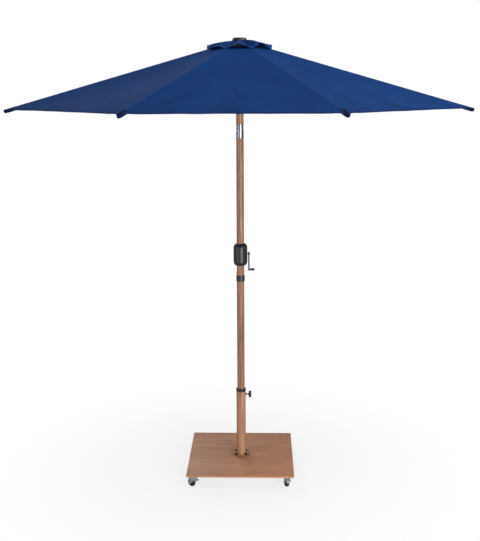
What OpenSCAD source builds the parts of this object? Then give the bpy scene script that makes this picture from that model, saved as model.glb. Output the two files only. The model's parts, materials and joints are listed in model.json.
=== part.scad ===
// Market umbrella with a push-button tilt, a crank lift and a square wheeled base.
// Millimetres, +Z up, origin on the floor under the pole axis, front towards -Y.

/* [Canopy] */
// Radius of the canopy at the rib tips
canopy_r = 1335; // [1200:5:1500]
// Height of the apex where the ridge lines of the fabric would meet
canopy_apex_z = 2568; // [2500:1:2640]
// Slope of the ribs below the horizontal when open
rib_slope = 16.1; // [14:0.1:19]
// Thickness of the fabric solid
fabric_t = 1.5; // [1:0.5:3]
// Apothem of the vent hole in the main canopy
vent_hole_d = 125; // [100:5:140]
// Apothem of the vent flap
vent_flap_d = 185; // [165:5:200]
// How far the hem lies inside the chord between two rib tips
hem_inset = 11; // [5:1:20]

/* [Frame] */
// Radius of the circle of rib pivots
crown_r = 35; // [33:1:38]
// Height of the rib pivots
crown_z = 2544; // [2538:1:2546]
// Width of a rib tube
rib_w = 10; // [8:1:12]
// Depth of a rib tube
rib_h = 16; // [14:1:18]
// Wall of the rib and strut tubes
rib_wall = 0.8; // [0.6:0.1:1.2]
// Distance from the rib pivot to the strut bracket along the rib
bracket_a = 560; // [520:5:600]
// Depth of the strut pivot below the rib axis
bracket_b = 16; // [15:1:18]
// Length of a strut between its pivots
strut_l = 575; // [570:1:600]
// Diameter of a strut tube
strut_d = 10; // [8:1:11]
// Radius of the circle of strut pivots on the runner
runner_r = 36; // [35:1:38]

/* [Pole] */
// Outer diameter of the pole
pole_d = 44; // [43:0.5:45]
// Wall of the pole
pole_wall = 1.5; // [1.2:0.1:2]
// Height of the joint between the lower and the middle pole
split_z = 1159; // [1140:1:1170]
// Height of the crank axis
crank_z = 1306; // [1300:1:1312]
// Radius of the crank
crank_reach = 95; // [85:1:105]
// Height of the bottom of the tilt joint
tilt_low_z = 1996; // [1980:1:1998]
// Height of the tilt pivot
tilt_z = 2042; // [2040:1:2046]
// Height of the top of the tilt joint
tilt_top_z = 2073; // [2072:1:2080]

/* [Base] */
// Side of the square base plate
plate_w = 618; // [600:1:650]
// Thickness of the base plate
plate_t = 8; // [6:1:12]
// Height of the casters
caster_h = 72; // [72:1:76]
// Distance of each caster from the centre planes
caster_pos = 270; // [230:1:275]
// Wheel diameter
wheel_d = 50; // [48:1:52]
// Outer diameter of the base tube
base_tube_d = 55; // [54:0.5:56]
// Height of the top of the base tube
base_tube_z = 482; // [478:1:500]
// Height of the clamp screw
clamp_z = 450; // [420:1:453]

/* [Hidden] */
ribs = 8;
rib_step = 360 / ribs;
rib_first = rib_step / 2;
half_panel = rib_step / 2;
fine = 96;
medium = 48;
small = 32;

// Canopy planes: one flat panel between two ridges, its slope along the apothem
ridge_slope = tan(rib_slope);
panel_slope = ridge_slope / cos(half_panel);
panel_tilt = atan(panel_slope);
hem_d = canopy_r * cos(half_panel) - hem_inset;
seam_gap = 0.4;
vent_in_d = 24;
vent_in_z = 2562.6;
vent_slope = 0.2086;
vent_tilt = atan(vent_slope);

// Rib linkage in the vertical plane of a rib
rib_len = (canopy_r - crown_r) / cos(rib_slope);
bracket_rho = crown_r + bracket_a * cos(rib_slope) - bracket_b * sin(rib_slope);
bracket_z = crown_z - bracket_a * sin(rib_slope) - bracket_b * cos(rib_slope);
runner_z = bracket_z - sqrt(pow(strut_l, 2) - pow(bracket_rho - runner_r, 2));
strut_lift = atan2(bracket_z - runner_z, bracket_rho - runner_r);
rib_eye_r = 6.5;
rib_eye_t = 8;
rib_tube_from = 24;
pin_r = 2;
strut_pin_r = 1.5;
run_gap = 0.05;
open_gap = 0.3;
strut_eye_r = 5.5;
strut_eye_t = 5;
cheek_t = 2;
cap_l = 26;

// Crown
hub_r = 46;
hub_low_z = 2530;
hub_top_z = 2554;
hub_slot_w = 8.6;
hub_plug_l = 24;
stud_r = 4;
finial_top_z = 2578;
finial_r = 45;
finial_top_r = 36.5;

// Pulley that turns the lift cord at the top of the pole
pulley_x = 16;
pulley_z = 2488;
pulley_r = 8;
cord_r = 1.5;

// Runner
runner_sleeve_r = 28.5;
keyway_r = 25.4;
keyway_w = 14;
runner_flange_r = 46;
runner_flange_h = 18;
runner_sleeve_low = -22;
runner_sleeve_top = 26;
runner_slot_w = 6.4;
runner_wide_w = 10.8;
runner_wide_from = 39.5;

// Pole
pole_r = pole_d / 2;
pole_in_r = pole_r - pole_wall;
foot_z = 92;
insert_r = pole_in_r - 0.1;
collar_h = 36;
collar_r = 25;
spigot_low_z = 960;
spigot_top_z = 1213;
snap_z = 1191;
snap_r = 4;

// Tilt joint
tilt_r = pole_r + 0.2;
tilt_plug_l = 38;
tongue_half = 9.8;
slot_half = 10.1;
tilt_relief = 10;
tongue_r = 21;
cheek_r = 22;
tilt_pin_r = 3.5;
shoulder_gap = 23.5;
button_z = 2014;
button_r = 4;
cord_x = 7;
cord_hole_r = 3;

// Crank housing
housing_low_z = 1236;
housing_top_z = 1368;
housing_r = 41;
housing_corner = 20;
housing_wall = 3;
drum_r = 8;
spool_r = 13;
spool_half = 9;
shaft_r = 5;
shaft_hole_r = 5.3;
arm_x = 50;
boss_z = [housing_low_z + 23, housing_top_z - 19];
boss_x = 31;

// Base
plate_z = caster_h;
plate_top_z = plate_z + plate_t;
flange_r = 51;
flange_t = 6;
bolt_r = 4;
bolt_pcd_r = 40;
tube_in_r = base_tube_d / 2 - 2;
bush_low_z = 458;
knob_x = 44;

// Casters: corner signs, swivel angle of each trail and which ones have a brake
corner = [[-1, -1], [1, -1], [1, 1], [-1, 1]];
trail_yaw = [135, 105, 20, 60];
trail = 14;
wheel_r = wheel_d / 2;
wheel_w = 20;
fork_in = 11.5;
fork_t = 2.5;
kingpin_r = 5;
axle_r = 3;
brake_u = -12.5;
brake_z = 47;

// ---- Shared shapes -----------------------------------------------------------------

// Ring or tube about Z between two heights
module tube(r_out, r_in, z_low, z_top, n = fine) {
    translate([0, 0, z_low])
        difference() {
            cylinder(h = z_top - z_low, r = r_out, $fn = n);
            translate([0, 0, -1])
                cylinder(h = z_top - z_low + 2, r = r_in, $fn = n);
        }
}

// Round bar along X or Y between two coordinates
module bar_x(r, from, to, n = small) {
    translate([from, 0, 0])
        rotate([0, 90, 0])
            cylinder(h = to - from, r = r, $fn = n);
}

module bar_y(r, from, to, n = small) {
    translate([0, from, 0])
        rotate([-90, 0, 0])
            cylinder(h = to - from, r = r, $fn = n);
}

// Flat plate square to Y, centred on it, from a 2D outline drawn in X and Z
module plate_y(t) {
    rotate([90, 0, 0])
        translate([0, 0, -t / 2])
            linear_extrude(t)
                children();
}

module rounded_rect(w, d, r) {
    square([w - 2 * r, d], center = true);
    square([w, d - 2 * r], center = true);
    for (sx = [-1, 1], sy = [-1, 1])
        translate([sx * (w / 2 - r), sy * (d / 2 - r)])
            circle(r, $fn = small);
}

// ---- Canopy ------------------------------------------------------------------------

// One flat fabric panel from apothem d_in to d_out, its top face through z_apex on the axis
module fabric_panel(d_in, d_out, z_apex, tilt) {
    u_in = d_in / cos(tilt);
    u_out = d_out / cos(tilt);
    v_in = d_in * tan(half_panel) - seam_gap;
    v_out = d_out * tan(half_panel) - seam_gap;
    translate([0, 0, z_apex])
        rotate([0, tilt, 0])
            translate([0, 0, -fabric_t])
                linear_extrude(fabric_t)
                    polygon([[u_in, -v_in], [u_out, -v_out], [u_out, v_out], [u_in, v_in]]);
}

module canopy() {
    vent_apex_z = vent_in_z + vent_slope * vent_in_d;
    color("midnightblue")
        for (i = [0 : ribs - 1])
            rotate([0, 0, i * rib_step]) {
                fabric_panel(vent_hole_d, hem_d, canopy_apex_z, panel_tilt);
                fabric_panel(vent_in_d, vent_flap_d, vent_apex_z, vent_tilt);
            }
}

// ---- Ribs and struts ---------------------------------------------------------------

// Places children in the frame of rib i: X outwards along the rib, Z square to it, origin on its pivot
module on_rib(i) {
    rotate([0, 0, rib_first + (i - 1) * rib_step])
        translate([crown_r, 0, crown_z])
            rotate([0, rib_slope, 0])
                children();
}

module rib_tube() {
    tube_to = rib_len - cap_l / 2;
    difference() {
        translate([rib_tube_from, -rib_w / 2, -rib_h / 2])
            cube([tube_to - rib_tube_from, rib_w, rib_h]);
        translate([rib_tube_from + 30, rib_wall - rib_w / 2, rib_wall - rib_h / 2])
            cube([tube_to, rib_w - 2 * rib_wall, rib_h - 2 * rib_wall]);
    }
    difference() {
        union() {
            plate_y(rib_eye_t)
                circle(rib_eye_r, $fn = medium);
            translate([0, -rib_eye_t / 2, -rib_eye_r])
                cube([rib_tube_from, rib_eye_t, 2 * rib_eye_r]);
        }
        bar_y(pin_r + run_gap, -rib_w, rib_w, medium);
    }
}

// Saddle that hangs the strut pivot below the rib, with its rivet
module rib_bracket() {
    saddle_l = 30;
    clear = 0.1;
    for (s = [-1, 1])
        translate([bracket_a, s * (rib_w / 2 + clear + cheek_t / 2), 0])
            plate_y(cheek_t) {
                translate([0, -bracket_b])
                    circle(strut_eye_r + 0.5, $fn = medium);
                translate([-saddle_l / 2, -rib_h / 2])
                    square([saddle_l, rib_h - 2]);
                translate([-strut_eye_r - 0.5, -bracket_b])
                    square([2 * strut_eye_r + 1, bracket_b]);
            }
    translate([bracket_a, 0, -bracket_b])
        bar_y(strut_pin_r, -rib_w / 2 - cheek_t - 1, rib_w / 2 + cheek_t + 1, medium);
}

module rib_cap() {
    lip = 0.5;
    inner_clear = 0.1;
    translate([rib_len - cap_l / 2 + inner_clear, -rib_w / 2 - lip, -rib_h / 2 - lip])
        cube([cap_l / 2 - inner_clear, rib_w + 2 * lip, rib_h + 2 * lip]);
    translate([rib_len - cap_l, inner_clear + rib_wall - rib_w / 2, inner_clear + rib_wall - rib_h / 2])
        cube([
            cap_l / 2 + 1,
            rib_w - 2 * rib_wall - 2 * inner_clear,
            rib_h - 2 * rib_wall - 2 * inner_clear
        ]);
}

module rib(i) {
    color("dimgray")
        on_rib(i) {
            rib_tube();
            rib_bracket();
        }
    color("black")
        on_rib(i)
            rib_cap();
}

// Strut from the rib bracket down to the runner; each end is pressed flat round its hole
module strut(i) {
    runner_flat = 60;
    rib_flat = 22;
    solid_l = 12;
    color("dimgray")
        rotate([0, 0, rib_first + (i - 1) * rib_step])
            translate([runner_r, 0, runner_z])
                rotate([0, -strut_lift, 0]) {
                    difference() {
                        bar_x(strut_d / 2, runner_flat, strut_l - rib_flat);
                        bar_x(strut_d / 2 - rib_wall, runner_flat + solid_l, strut_l - rib_flat - solid_l);
                    }
                    strut_end(runner_flat, strut_pin_r + open_gap);
                    translate([strut_l, 0, 0])
                        mirror([1, 0, 0])
                            strut_end(rib_flat, strut_pin_r + run_gap);
                }
}

module strut_end(flat_l, hole_r) {
    difference() {
        union() {
            plate_y(strut_eye_t)
                circle(strut_eye_r, $fn = medium);
            translate([0, -strut_eye_t / 2, 1 - strut_eye_r])
                cube([flat_l + 1, strut_eye_t, 2 * strut_eye_r - 2]);
        }
        bar_y(hole_r, -rib_w, rib_w, medium);
    }
}

// ---- Crown, pulley and runner ------------------------------------------------------

module at_ribs() {
    for (i = [0 : ribs - 1])
        rotate([0, 0, rib_first + i * rib_step])
            children();
}

module crown_hub() {
    slot_in = crown_r - rib_eye_r - 1.5;
    color("black")
        difference() {
            union() {
                translate([0, 0, hub_low_z])
                    cylinder(h = hub_top_z - hub_low_z, r = hub_r, $fn = fine);
                translate([0, 0, hub_low_z - hub_plug_l])
                    cylinder(h = hub_plug_l + 1, r = insert_r, $fn = fine);
            }
            at_ribs() {
                translate([slot_in, -hub_slot_w / 2, hub_low_z - 1])
                    cube([hub_r, hub_slot_w, hub_top_z - hub_low_z + 2]);
                translate([crown_r, 0, crown_z])
                    bar_y(pin_r, -hub_slot_w, hub_slot_w, medium);
            }
            translate([0, 0, hub_low_z - hub_plug_l - 1])
                cylinder(h = hub_top_z - hub_low_z + hub_plug_l + 2, r = stud_r + 0.05, $fn = medium);
        }
}

// Rivets of the eight ribs, and the axle of the cord pulley
module crown_pins() {
    axle_half = 14.5;
    color("silver") {
        at_ribs()
            translate([crown_r, 0, crown_z])
                bar_y(pin_r, 0.2 - hub_slot_w, hub_slot_w - 0.2, medium);
        translate([pulley_x, 0, pulley_z])
            bar_y(pin_r, -axle_half, axle_half, medium);
    }
}

module finial() {
    under_slope = 0.19;
    under_z = 2568;
    color("black") {
        rotate_extrude($fn = fine)
            polygon([
                [0, under_z],
                [finial_r, under_z - under_slope * finial_r],
                [finial_r, 2562],
                [finial_r - 3, 2568],
                [finial_top_r + 2, 2576],
                [finial_top_r - 2, finial_top_z],
                [0, finial_top_z]
            ]);
        translate([0, 0, hub_low_z - 10])
            cylinder(h = under_z - hub_low_z + 12, r = stud_r, $fn = medium);
    }
}

module cord_pulley() {
    rim = 2.2;
    half_w = 3.5;
    color("white")
        translate([pulley_x, 0, pulley_z])
            rotate([90, 0, 0])
                difference() {
                    union() {
                        translate([0, 0, -half_w])
                            cylinder(h = 2 * half_w, r = pulley_r, $fn = medium);
                        for (z = [-half_w, half_w - 1.5])
                            translate([0, 0, z])
                                cylinder(h = 1.5, r = pulley_r + rim, $fn = medium);
                    }
                    cylinder(h = 20, r = pin_r + run_gap, center = true, $fn = medium);
                }
}

// Slides on the pole; two grooves in its bore let it pass the tilt button and the pin heads
module runner() {
    slot_in = runner_r - strut_eye_r - 1.2;
    bore_r = pole_r + 0.5;
    color("black")
        translate([0, 0, runner_z])
            difference() {
                union() {
                    translate([0, 0, runner_sleeve_low])
                        cylinder(h = runner_sleeve_top - runner_sleeve_low, r = runner_sleeve_r, $fn = fine);
                    translate([0, 0, -runner_flange_h / 2])
                        cylinder(h = runner_flange_h, r = runner_flange_r, $fn = fine);
                }
                translate([0, 0, runner_sleeve_low - 1])
                    cylinder(h = runner_sleeve_top - runner_sleeve_low + 2, r = bore_r, $fn = fine);
                translate([-keyway_w / 2, -keyway_r, runner_sleeve_low - 1])
                    cube([keyway_w, 2 * keyway_r, runner_sleeve_top - runner_sleeve_low + 2]);
                at_ribs() {
                    translate([slot_in, -runner_slot_w / 2, -runner_flange_h])
                        cube([runner_flange_r, runner_slot_w, 2 * runner_flange_h]);
                    translate([runner_wide_from, -runner_wide_w / 2, -runner_flange_h])
                        cube([runner_flange_r, runner_wide_w, 2 * runner_flange_h]);
                    translate([runner_r, 0, 0])
                        bar_y(strut_pin_r, -8, 8, medium);
                }
            }
}

module runner_pins() {
    color("silver")
        translate([0, 0, runner_z])
            at_ribs()
                translate([runner_r, 0, 0])
                    bar_y(strut_pin_r, -7.5, 7.5, medium);
}

// ---- Pole --------------------------------------------------------------------------

module lower_pole() {
    color("peru")
        tube(pole_r, pole_in_r, foot_z, split_z - 0.3);
    color("black") {
        translate([0, 0, foot_z - 2])
            cylinder(h = 1.9, r = pole_r, $fn = fine);
        translate([0, 0, foot_z - 1])
            cylinder(h = 21, r = insert_r, $fn = fine);
    }
}

module pole_collar() {
    rim_r = 0.8;
    z_low = split_z - collar_h / 2;
    color("black")
        rotate_extrude($fn = fine)
            polygon([
                [pole_r + 0.1, z_low],
                [collar_r - rim_r, z_low],
                [collar_r, z_low + rim_r],
                [collar_r, z_low + collar_h - rim_r],
                [collar_r - rim_r, z_low + collar_h],
                [pole_r + 0.1, z_low + collar_h]
            ]);
}

// Inner tube that joins the lower and the middle pole
module pole_spigot() {
    color("silver")
        difference() {
            tube(insert_r, insert_r - 1.5, spigot_low_z, spigot_top_z);
            translate([0, 0, snap_z])
                bar_x(snap_r + 0.1, -pole_r, 0, medium);
        }
}

// Domed button and, behind it, the bent leaf spring that pushes it out
module snap_button() {
    dome_r = 5;
    head_x = -pole_r - 3.5;
    back_x = -13;
    leaf_t = 1;
    leaf_w = 8;
    leaf_l = 60;
    leaf_far_x = 8.5;
    color("silver")
        translate([0, 0, snap_z]) {
            intersection() {
                bar_x(snap_r, head_x, back_x - 0.1, medium);
                union() {
                    translate([head_x + dome_r, 0, 0])
                        sphere(dome_r, $fn = medium);
                    bar_x(snap_r + 1, head_x + dome_r - 2, back_x, medium);
                }
            }
            translate([back_x, -leaf_w / 2, -leaf_l])
                cube([leaf_t, leaf_w, leaf_l + 8]);
            translate([back_x, -leaf_w / 2, -leaf_l - leaf_t])
                cube([leaf_far_x - back_x + leaf_t, leaf_w, leaf_t]);
            translate([leaf_far_x, -leaf_w / 2, -leaf_l])
                cube([leaf_t, leaf_w, leaf_l - 10]);
        }
}

// The crank shaft passes through the pole, and the spool turns inside it
module mid_pole() {
    color("peru")
        difference() {
            tube(pole_r, pole_in_r, split_z, tilt_low_z - 0.1);
            translate([0, 0, snap_z])
                bar_x(snap_r + 0.1, -pole_r - 2, 0, medium);
            translate([0, 0, crank_z])
                bar_x(shaft_hole_r, -pole_r - 2, pole_r + 2, medium);
        }
}

// ---- Crank -------------------------------------------------------------------------

module housing_body(grow) {
    r = housing_r + grow;
    c = housing_corner + grow;
    z_low = housing_low_z - grow;
    z_top = housing_top_z + grow;
    rotate_extrude($fn = fine)
        union() {
            translate([0, z_low])
                square([r - c, z_top - z_low]);
            translate([0, z_low + c])
                square([r, z_top - z_low - 2 * c]);
            for (z = [z_low + c, z_top - c])
                translate([r - c, z])
                    intersection() {
                        circle(c, $fn = fine);
                        translate([0, -c])
                            square([c, 2 * c]);
                    }
        }
}

// One half of the housing; side is -1 for the front, 1 for the back
module housing_half(side) {
    panel_w = 32;
    panel_out = 1.6;
    panel_low = housing_low_z + 16;
    panel_h = housing_top_z - housing_low_z - 32;
    screw_r = 2;
    cut = 200;
    split_gap = 0.1;
    ring_h = 13;
    difference() {
        union() {
            difference() {
                union() {
                    housing_body(0);
                    translate([-panel_w / 2, side * housing_r / 2 - housing_r / 2 - panel_out, panel_low])
                        cube([panel_w, housing_r + 2 * panel_out, panel_h]);
                }
                housing_body(-housing_wall);
            }
            intersection() {
                housing_body(0);
                for (x = [-boss_x, boss_x], z = boss_z)
                    translate([x, 0, z])
                        bar_y(4.5, -housing_r, housing_r);
            }
            for (z = [housing_low_z + 1, housing_top_z - 1 - ring_h])
                tube(pole_r + 6, pole_r, z, z + ring_h);
        }
        translate([-cut / 2, side > 0 ? split_gap - cut : -split_gap, housing_low_z - cut / 4])
            cube([cut, cut, cut]);
        translate([0, 0, housing_low_z - 1])
            cylinder(h = housing_top_z - housing_low_z + 2, r = pole_r + 0.1, $fn = fine);
        translate([0, 0, crank_z])
            bar_x(shaft_hole_r + 1, pole_r, housing_r + 5, medium);
        for (x = [-boss_x, boss_x], z = boss_z) {
            translate([x, 0, z])
                bar_y(screw_r, -16, 60);
            translate([x, 0, z])
                bar_y(4, 18, 60);
        }
    }
}

module housing_front() {
    color("black")
        housing_half(-1);
}

module housing_back() {
    color("black")
        housing_half(1);
}

module housing_screws() {
    color("silver")
        for (x = [-boss_x, boss_x], z = boss_z)
            translate([x, 0, z]) {
                bar_y(1.95, -15, 18);
                bar_y(3.8, 18, 20.5);
            }
}

module crank_spool() {
    color("white")
        translate([0, 0, crank_z]) {
            bar_x(drum_r, -spool_half, spool_half, medium);
            for (x = [-spool_half - 1.5, spool_half])
                translate([x, 0, 0])
                    bar_x(spool_r, 0, 1.5, medium);
        }
    color("silver")
        translate([0, 0, crank_z])
            bar_x(shaft_r, -pole_r - 4, arm_x - 5, medium);
}

module crank_arm() {
    arm_t = 6;
    arm_w = 14;
    boss_r = 11;
    shank_r = 3;
    color("dimgray")
        translate([arm_x, 0, crank_z]) {
            bar_x(boss_r, -5, 3, medium);
            translate([-arm_t / 2, -arm_w / 2, -crank_reach])
                cube([arm_t, arm_w, crank_reach]);
            translate([0, 0, -crank_reach])
                bar_x(arm_w / 2, -arm_t / 2, arm_t / 2, medium);
            translate([0, 0, -crank_reach])
                bar_x(shank_r, 0, 33, medium);
            translate([0, 0, -crank_reach])
                bar_x(5, 33, 34.5, medium);
        }
    color("silver")
        translate([arm_x, 0, crank_z])
            bar_x(5, 3, 6.5, medium);
}

module crank_grip() {
    grip_from = 4;
    grip_to = 32.5;
    color("black")
        translate([arm_x, 0, crank_z - crank_reach])
            rotate([0, 90, 0])
                rotate_extrude($fn = medium)
                    polygon([
                        [3.06, grip_from],
                        [5.5, grip_from],
                        [6, grip_from + 6],
                        [7.5, grip_to - 8],
                        [7.5, grip_to - 2],
                        [6, grip_to],
                        [3.06, grip_to]
                    ]);
}

// ---- Tilt joint --------------------------------------------------------------------

// Lower half: two cheeks that hold the pin, and a plug in the middle pole
module tilt_socket() {
    color("silver")
        difference() {
            union() {
                translate([0, 0, tilt_low_z])
                    cylinder(h = tilt_z - tilt_low_z, r = tilt_r, $fn = fine);
                translate([0, 0, tilt_low_z - tilt_plug_l])
                    cylinder(h = tilt_plug_l + 1, r = insert_r, $fn = fine);
                intersection() {
                    translate([0, 0, tilt_low_z])
                        cylinder(h = tilt_top_z - tilt_low_z, r = tilt_r, $fn = fine);
                    translate([0, 0, tilt_z])
                        bar_y(cheek_r, -tilt_r - 1, tilt_r + 1, fine);
                }
            }
            translate([0, 0, tilt_z])
                bar_y(tongue_r + 0.4, -slot_half, slot_half, fine);
            translate([-tilt_r - 1, -slot_half, tilt_z])
                cube([2 * tilt_r + 2, 2 * slot_half, cheek_r + 1]);
            translate([-tilt_r - 1, -slot_half, tilt_z - tilt_relief])
                cube([tilt_r, 2 * slot_half, tilt_relief + 1]);
            translate([0, 0, tilt_z])
                bar_y(tilt_pin_r, -tilt_r - 1, tilt_r + 1, medium);
            translate([0, 0, button_z])
                bar_y(button_r + run_gap, -tilt_r - 1, -3, medium);
            translate([cord_x, 0, tilt_low_z - tilt_plug_l - 1])
                cylinder(h = 100, r = cord_hole_r, $fn = small);
        }
}

module tilt_pin() {
    head_r = 5.5;
    color("silver")
        translate([0, 0, tilt_z]) {
            bar_y(tilt_pin_r, -tilt_r + 1, tilt_r - 1, medium);
            bar_y(2, -tilt_r - 0.3, tilt_r + 0.3, medium);
            for (s = [-1, 1])
                translate([0, s * (tilt_r + 0.8), 0])
                    bar_y(head_r, -0.5, 0.5, medium);
        }
}

module tilt_button() {
    dome_r = 10;
    face_y = -tilt_r - 2.8;
    color("silver")
        translate([0, 0, button_z])
            intersection() {
                bar_y(button_r, face_y, -7, medium);
                union() {
                    translate([0, face_y + dome_r, 0])
                        sphere(dome_r, $fn = fine);
                    bar_y(button_r + 1, face_y + 2, -7, medium);
                }
            }
}

// Upper half: a tongue on the pin and a plug in the upper pole
module tilt_knuckle() {
    color("silver")
        difference() {
            union() {
                intersection() {
                    translate([0, 0, tilt_z - tongue_r])
                        cylinder(h = tongue_r + shoulder_gap + 1, r = tilt_r, $fn = fine);
                    union() {
                        translate([0, 0, tilt_z])
                            bar_y(tongue_r, -tongue_half, tongue_half, fine);
                        translate([-tongue_r, -tongue_half, tilt_z])
                            cube([2 * tongue_r, 2 * tongue_half, shoulder_gap + 1]);
                    }
                }
                translate([0, 0, tilt_z + shoulder_gap])
                    cylinder(h = tilt_top_z - tilt_z - shoulder_gap, r = tilt_r, $fn = fine);
                translate([0, 0, tilt_top_z - 1])
                    cylinder(h = tilt_plug_l + 1, r = insert_r, $fn = fine);
            }
            translate([0, 0, tilt_z])
                bar_y(tilt_pin_r + run_gap, -tilt_r - 1, tilt_r + 1, medium);
            translate([cord_x, 0, tilt_z - tongue_r - 1])
                cylinder(h = 100, r = cord_hole_r, $fn = small);
        }
}

module upper_pole() {
    axle_y = 20;
    color("peru")
        difference() {
            tube(pole_r, pole_in_r, tilt_top_z + 0.1, hub_low_z);
            translate([0, -5.5, pulley_z - 12])
                cube([pole_r + 2, 11, 24]);
            translate([pulley_x, 0, pulley_z])
                bar_y(pin_r + 0.02, -axle_y, axle_y, medium);
        }
}

// ---- Lift cord ---------------------------------------------------------------------

// Round cord swept along a list of points
module cord(points) {
    sides = 8;
    n = len(points);
    ring = [for (k = [0 : sides - 1]) [cord_r * cos(k * 360 / sides), cord_r * sin(k * 360 / sides)]];
    rings = [for (p = points, q = ring) [p[0] + q[0], p[1] + q[1], p[2]]];
    walls = [
        for (i = [0 : n - 2], k = [0 : sides - 1])
            [i * sides + k, (i + 1) * sides + k, (i + 1) * sides + (k + 1) % sides, i * sides + (k + 1) % sides]
    ];
    caps = [[for (k = [0 : sides - 1]) k], [for (k = [sides - 1 : -1 : 0]) (n - 1) * sides + k]];
    polyhedron(points = rings, faces = concat(walls, caps), convexity = 4);
}

// Inside the mast: the turns on the spool, then straight up to the tilt joint
module lift_cord_lower() {
    color("white") {
        cord([
            [0, 11.2, crank_z + 5], [0, 11.2, crank_z + 21], [2, 9, 1430], [5, 4, 1620],
            [cord_x, 0, 1800], [cord_x, 0, tilt_z - 22.5]
        ]);
        translate([0, 0, crank_z])
            difference() {
                bar_x(drum_r + 2 * cord_r, -spool_half + 1, spool_half - 1, medium);
                bar_x(drum_r + 0.1, -spool_half, spool_half, medium);
            }
    }
}

// Inside the upper pole: from the tilt joint to the pulley
module lift_cord_upper() {
    in_x = pulley_x - pulley_r - 1.6;
    color("white")
        cord([[cord_x, 0, tilt_z - 14], [cord_x, 0, 2100], [in_x, 0, 2200], [in_x, 0, pulley_z]]);
}

// Outside the upper pole: from the pulley down to the runner
module lift_cord_outer() {
    out_x = pulley_x + pulley_r + 1.6;
    color("white")
        cord([[out_x - 1, 0, runner_z + runner_sleeve_top + 0.4], [out_x, 0, 2300], [out_x, 0, pulley_z]]);
}

// ---- Base --------------------------------------------------------------------------

module base_plate() {
    corner_r = 6;
    color("sienna")
        difference() {
            translate([0, 0, plate_z])
                linear_extrude(plate_t)
                    rounded_rect(plate_w, plate_w, corner_r);
            for (s = [-1, 1], t = [-1, 1]) {
                rotate([0, 0, 45 * (s + 2 * t)])
                    translate([bolt_pcd_r, 0, plate_z - 1])
                        cylinder(h = plate_t + 2, r = bolt_r + 0.2, $fn = small);
                translate([s * caster_pos, t * caster_pos, 0])
                    screw_spots()
                        translate([0, 0, plate_z - 1])
                            cylinder(h = plate_t + 2, r = 2.6, $fn = small);
            }
        }
}

module screw_spots() {
    spread = 23;
    for (s = [-1, 1], t = [-1, 1])
        translate([s * spread, t * spread, 0])
            children();
}

module base_tube() {
    weld = 3;
    color("sienna")
        difference() {
            union() {
                tube(base_tube_d / 2, tube_in_r, plate_top_z, base_tube_z);
                difference() {
                    translate([0, 0, plate_top_z])
                        cylinder(h = flange_t, r = flange_r, $fn = fine);
                    translate([0, 0, plate_top_z - 1])
                        cylinder(h = flange_t + 2, r = tube_in_r, $fn = fine);
                }
                rotate_extrude($fn = fine)
                    polygon([
                        [tube_in_r + 1, plate_top_z + flange_t],
                        [base_tube_d / 2 + weld, plate_top_z + flange_t],
                        [tube_in_r + 1, plate_top_z + flange_t + weld + 1]
                    ]);
                translate([0, 0, clamp_z])
                    bar_x(8.5, tube_in_r + 1, base_tube_d / 2 + 5, medium);
            }
            translate([0, 0, clamp_z])
                bar_x(bolt_r + run_gap, 0, base_tube_d, medium);
            for (k = [0 : 3])
                rotate([0, 0, 45 + 90 * k])
                    translate([bolt_pcd_r, 0, plate_top_z - 1])
                        cylinder(h = flange_t + 2, r = bolt_r + 0.2, $fn = small);
            translate([0, 0, plate_top_z - 1])
                cylinder(h = base_tube_z, r = tube_in_r, $fn = fine);
        }
}

module flange_bolts() {
    hex_r = 7.5;
    washer_t = 1.4;
    head_h = 5.4;
    nut_h = 6.4;
    top = plate_top_z + flange_t;
    color("black")
        for (k = [0 : 3])
            rotate([0, 0, 45 + 90 * k])
                translate([bolt_pcd_r, 0, 0]) {
                    translate([0, 0, plate_z - nut_h])
                        cylinder(h = nut_h, r = hex_r, $fn = 6);
                    translate([0, 0, plate_z - nut_h - 1])
                        cylinder(h = top - plate_z + nut_h + 2, r = bolt_r, $fn = small);
                    translate([0, 0, top])
                        cylinder(h = washer_t, r = 8.6, $fn = small);
                    translate([0, 0, top + washer_t])
                        cylinder(h = head_h, r = hex_r, $fn = 6);
                }
}

// Plastic sleeve in the mouth of the base tube; the pole slides in it and turns with it
module tube_bushing() {
    lip_r = base_tube_d / 2 + 1.7;
    bore_r = pole_r + 0.3;
    color("black")
        rotate_extrude($fn = fine)
            polygon([
                [bore_r, bush_low_z],
                [tube_in_r - 0.3, bush_low_z],
                [tube_in_r - 0.3, base_tube_z + 0.3],
                [base_tube_d / 2 + 0.3, base_tube_z + 0.3],
                [base_tube_d / 2 + 0.3, base_tube_z - 12],
                [lip_r, base_tube_z - 12],
                [lip_r, base_tube_z + 3],
                [lip_r - 1.5, base_tube_z + 4.5],
                [bore_r, base_tube_z + 4.5]
            ]);
}

module clamp_screw() {
    color("silver")
        translate([0, 0, clamp_z])
            bar_x(bolt_r, pole_r + 0.4, knob_x - 0.1, medium);
}

// Star knob with six lobes on a round collar
module clamp_knob() {
    knob_t = 14;
    collar_t = 3;
    lobe_r = 5.6;
    lobe_at = 14.9;
    dip_r = 5;
    dip_at = 19.5;
    color("black")
        translate([knob_x, 0, clamp_z])
            rotate([0, 90, 0]) {
                cylinder(h = collar_t + 1, r = 9, $fn = medium);
                translate([0, 0, collar_t])
                    linear_extrude(knob_t)
                        difference() {
                            union() {
                                circle(lobe_at + 0.6, $fn = fine);
                                for (k = [0 : 5])
                                    rotate(60 * k)
                                        translate([lobe_at, 0])
                                            circle(lobe_r, $fn = small);
                            }
                            for (k = [0 : 5])
                                rotate(60 * k + 30)
                                    translate([dip_at, 0])
                                        circle(dip_r, $fn = small);
                        }
            }
}

// ---- Casters -----------------------------------------------------------------------

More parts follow.
